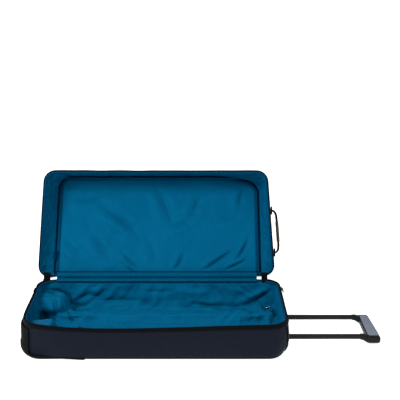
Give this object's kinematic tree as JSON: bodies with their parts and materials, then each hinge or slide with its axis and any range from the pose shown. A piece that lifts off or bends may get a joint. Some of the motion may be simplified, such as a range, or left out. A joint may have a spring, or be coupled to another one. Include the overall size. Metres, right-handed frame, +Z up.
{
  "type": "rolling duffel bag",
  "caption": "Open rolling duffel bag lying on its back: lined tray and hinged lid with zip pocket, wheels in a moulded end guard, telescopic pull handle and side carry handle.",
  "frame": {"origin": "centre of the tray's footprint, on the underside of the middle skid rail that the bag lies on", "axes": "+X along the bag, from the wheels to the pull handle; +Y from the front long side to the hinge; +Z up, out of the tray's mouth"},
  "size_m": [1.0458, 0.6077, 0.4336],
  "materials": {
    "outer_nylon": "coated navy nylon twill, matt",
    "lining": "teal-blue polyester lining, slight sheen",
    "black_tape": "black woven zip tape and binding",
    "guard": "charcoal moulded plastic, fine grain",
    "rod_metal": "black anodised aluminium, satin",
    "handle_plastic": "black moulded plastic, satin",
    "soft_grip": "grey-blue soft-touch inlay",
    "tread": "black cast wheel tread",
    "hub": "dark grey nylon",
    "steel": "plain steel",
    "board": "black polyethylene sheet and rod",
    "webbing": "black woven webbing",
    "wrap": "taupe-brown handle wrap",
    "zip_metal": "gunmetal lacquer"
  },
  "bodies": {
    "tray": {"tray_shell": "outer_nylon", "base_board": "board", "tray_lining": "lining", "tray_zip_tape": "black_tape", "tray_rim_wire": "board", "skid_rail_front": "guard", "skid_rail_middle": "guard", "skid_rail_rear": "guard", "kick_plate": "guard", "wheel_housing_front": "guard", "wheel_housing_rear": "guard", "axle_front": "steel", "axle_rear": "steel", "bearing_front": "steel", "bearing_rear": "steel", "outer_tube_front": "rod_metal", "outer_tube_rear": "rod_metal", "tube_foot_front": "handle_plastic", "tube_foot_rear": "handle_plastic", "tube_socket_front": "handle_plastic", "tube_socket_rear": "handle_plastic", "hinge_strip_tray": "lining", "zip_end_left": "black_tape", "zip_end_right": "black_tape"},
    "lid": {"lid_shell": "outer_nylon", "lid_lining": "lining", "lid_zip_tape": "black_tape", "lid_rim_wire": "board", "hinge_strip_lid": "lining", "pocket_panel": "lining", "pocket_zip": "black_tape", "outer_pocket": "outer_nylon", "outer_pocket_zip": "black_tape", "handle_anchor_lower": "webbing", "handle_anchor_upper": "webbing"},
    "trolley_handle": {"rod_front": "rod_metal", "rod_rear": "rod_metal", "rod_bush_front": "handle_plastic", "rod_bush_rear": "handle_plastic", "grip_frame": "handle_plastic", "grip_pad": "soft_grip"},
    "release": {"release_button": "handle_plastic", "release_linkage": "steel"},
    "lock_pin_front": {"lock_pin_front": "steel"},
    "lock_pin_rear": {"lock_pin_rear": "steel"},
    "wheel_front": {"tyre_front": "tread", "hub_front": "hub"},
    "wheel_rear": {"tyre_rear": "tread", "hub_rear": "hub"},
    "carry_handle": {"carry_strap": "webbing", "strap_wrap": "wrap"},
    "main_slider_left": {"main_left_slider": "zip_metal"},
    "main_slider_right": {"main_right_slider": "zip_metal"},
    "main_puller_left": {"main_left_puller": "black_tape"},
    "main_puller_right": {"main_right_puller": "black_tape"},
    "pocket_slider": {"pocket_slider": "zip_metal"},
    "pocket_puller": {"pocket_puller": "black_tape"},
    "outer_pocket_slider": {"outer_pocket_slider": "zip_metal"},
    "outer_pocket_puller": {"outer_pocket_puller": "black_tape"}
  },
  "joints": [
    {"name": "lid_hinge", "type": "hinge", "parent": "tray", "child": "lid", "pos_m": [0, 0.177, 0.112], "axis": [1, 0, 0], "range_deg": [-36, 112]},
    {"name": "handle_slide", "type": "slide", "parent": "tray", "child": "trolley_handle", "axis": [-1, 0, 0], "range_m": [0, 0.218]},
    {"name": "release_press", "type": "slide", "parent": "trolley_handle", "child": "release", "axis": [-1, 0, 0], "range_m": [0, 0.004], "stiffness_N_per_m": 800, "springref_m": -0.003},
    {"name": "lock_front", "type": "slide", "parent": "trolley_handle", "child": "lock_pin_front", "axis": [0, 1, 0], "range_m": [0, 0.003]},
    {"name": "lock_rear", "type": "slide", "parent": "trolley_handle", "child": "lock_pin_rear", "axis": [0, -1, 0], "range_m": [0, 0.003]},
    {"name": "wheel_spin_front", "type": "hinge", "parent": "tray", "child": "wheel_front", "pos_m": [-0.349, -0.101, 0.036], "axis": [0, 1, 0], "continuous": true},
    {"name": "wheel_spin_rear", "type": "hinge", "parent": "tray", "child": "wheel_rear", "pos_m": [-0.349, 0.101, 0.036], "axis": [0, 1, 0], "continuous": true},
    {"name": "carry_handle_swing", "type": "hinge", "parent": "lid", "child": "carry_handle", "pos_m": [0.37523, 0.30357, 0.22507], "axis": [-0.0628, 0.3739, 0.9254], "range_deg": [-35, 35]},
    {"name": "main_zip_left", "type": "slide", "parent": "tray", "child": "main_slider_left", "axis": [0, -1, 0], "range_m": [0, 0.212]},
    {"name": "main_zip_right", "type": "slide", "parent": "tray", "child": "main_slider_right", "axis": [0, -1, 0], "range_m": [0, 0.212]},
    {"name": "main_pull_left", "type": "hinge", "parent": "main_slider_left", "child": "main_puller_left", "pos_m": [-0.3876, 0.106, 0.1025], "axis": [0, 0, -1], "range_deg": [0, 150]},
    {"name": "main_pull_right", "type": "hinge", "parent": "main_slider_right", "child": "main_puller_right", "pos_m": [0.3876, 0.106, 0.1025], "axis": [0, 0, 1], "range_deg": [0, 150]},
    {"name": "pocket_zip_run", "type": "slide", "parent": "lid", "child": "pocket_slider", "axis": [0.0627, 0.5652, 0.8226], "range_m": [0, 0.2]},
    {"name": "pocket_pull", "type": "hinge", "parent": "pocket_slider", "child": "pocket_puller", "pos_m": [-0.34242, 0.24873, 0.17046], "axis": [-0.998, 0.0355, 0.0517], "range_deg": [0, 150]},
    {"name": "outer_zip_run", "type": "slide", "parent": "lid", "child": "outer_pocket_slider", "axis": [1, 0, 0], "range_m": [0, 0.4]},
    {"name": "outer_pull", "type": "hinge", "parent": "outer_pocket_slider", "child": "outer_pocket_puller", "pos_m": [-0.2, 0.41213, 0.25644], "axis": [0, -0.3746, -0.9272], "range_deg": [0, 150]}
  ],
  "couplings": [
    {"joint": "lock_front", "follows": "release_press", "ratio": 0.75},
    {"joint": "lock_rear", "follows": "release_press", "ratio": 0.75}
  ]
}
